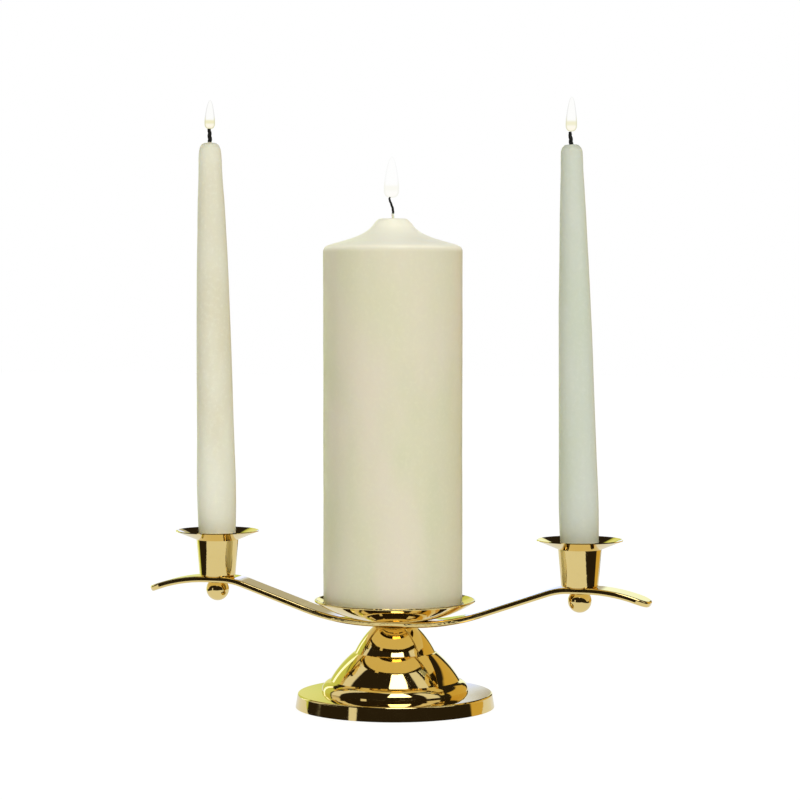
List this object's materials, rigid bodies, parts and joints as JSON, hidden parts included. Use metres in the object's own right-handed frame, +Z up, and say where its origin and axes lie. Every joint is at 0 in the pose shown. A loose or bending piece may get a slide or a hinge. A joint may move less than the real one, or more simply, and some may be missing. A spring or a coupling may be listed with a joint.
{
  "type": "unity candle holder with candles",
  "caption": "Polished brass wedding candle holder: stepped bell base, wavy flat arm, bowl with a pillar candle and a flared cup with a taper candle at each end.",
  "frame": {"origin": "on the table surface under the middle of the base", "axes": "+Z up, X along the arm from the left taper to the right taper, -Y towards a viewer in front"},
  "size_m": [0.2844, 0.1092, 0.32],
  "materials": {
    "polished_brass": "polished, lacquered",
    "zinc_steel": "zinc plated",
    "pillar_wax": "smooth ivory wax, slightly translucent",
    "taper_wax": "smooth dipped ivory wax, slightly translucent",
    "wick_cotton": "burned braided cotton",
    "green_felt": "felt",
    "flame": "candle flame, glowing",
    "fibreboard": "pressed board"
  },
  "bodies": {
    "holder": {"base_shell": "polished_brass", "base_plate": "fibreboard", "felt_pad": "green_felt", "arm_bar": "polished_brass", "pillar_pan": "polished_brass", "center_bolt": "zinc_steel", "center_washer": "zinc_steel", "center_nut": "zinc_steel", "left_cup": "polished_brass", "left_cup_screw": "zinc_steel", "right_cup": "polished_brass", "right_cup_screw": "zinc_steel"},
    "pillar": {"pillar_candle": "pillar_wax", "pillar_wick": "wick_cotton"},
    "left_taper": {"left_taper": "taper_wax", "left_taper_wick": "wick_cotton"},
    "left_nut_washer": {"left_nut_washer": "polished_brass"},
    "left_ball_nut": {"left_ball_nut": "polished_brass"},
    "right_taper": {"right_taper": "taper_wax", "right_taper_wick": "wick_cotton"},
    "right_nut_washer": {"right_nut_washer": "polished_brass"},
    "right_ball_nut": {"right_ball_nut": "polished_brass"}
  },
  "joints": [
    {"name": "pillar_lift", "type": "slide", "parent": "holder", "child": "pillar", "axis": [0, 0, 1], "range_m": [0, 0.05]},
    {"name": "left_taper_lift", "type": "slide", "parent": "holder", "child": "left_taper", "axis": [-0.0131, 0, 0.9999], "range_m": [0, 0.06]},
    {"name": "left_nut_drop", "type": "slide", "parent": "holder", "child": "left_nut_washer", "axis": [0, 0, -1], "range_m": [0, 0.0036]},
    {"name": "left_nut_turn", "type": "hinge", "parent": "left_nut_washer", "child": "left_ball_nut", "pos_m": [-0.1033, 0, 0.0595], "axis": [0, 0, -1], "range_deg": [0, 1800]},
    {"name": "right_taper_lift", "type": "slide", "parent": "holder", "child": "right_taper", "axis": [-0.0209, 0, 0.9998], "range_m": [0, 0.06]},
    {"name": "right_nut_drop", "type": "slide", "parent": "holder", "child": "right_nut_washer", "axis": [0, 0, -1], "range_m": [0, 0.0036]},
    {"name": "right_nut_turn", "type": "hinge", "parent": "right_nut_washer", "child": "right_ball_nut", "pos_m": [0.1033, 0, 0.0595], "axis": [0, 0, -1], "range_deg": [0, 1800]}
  ],
  "couplings": [
    {"joint": "left_nut_drop", "follows": "left_nut_turn", "m_per_rad": 0.00011141},
    {"joint": "right_nut_drop", "follows": "right_nut_turn", "m_per_rad": 0.00011141}
  ]
}
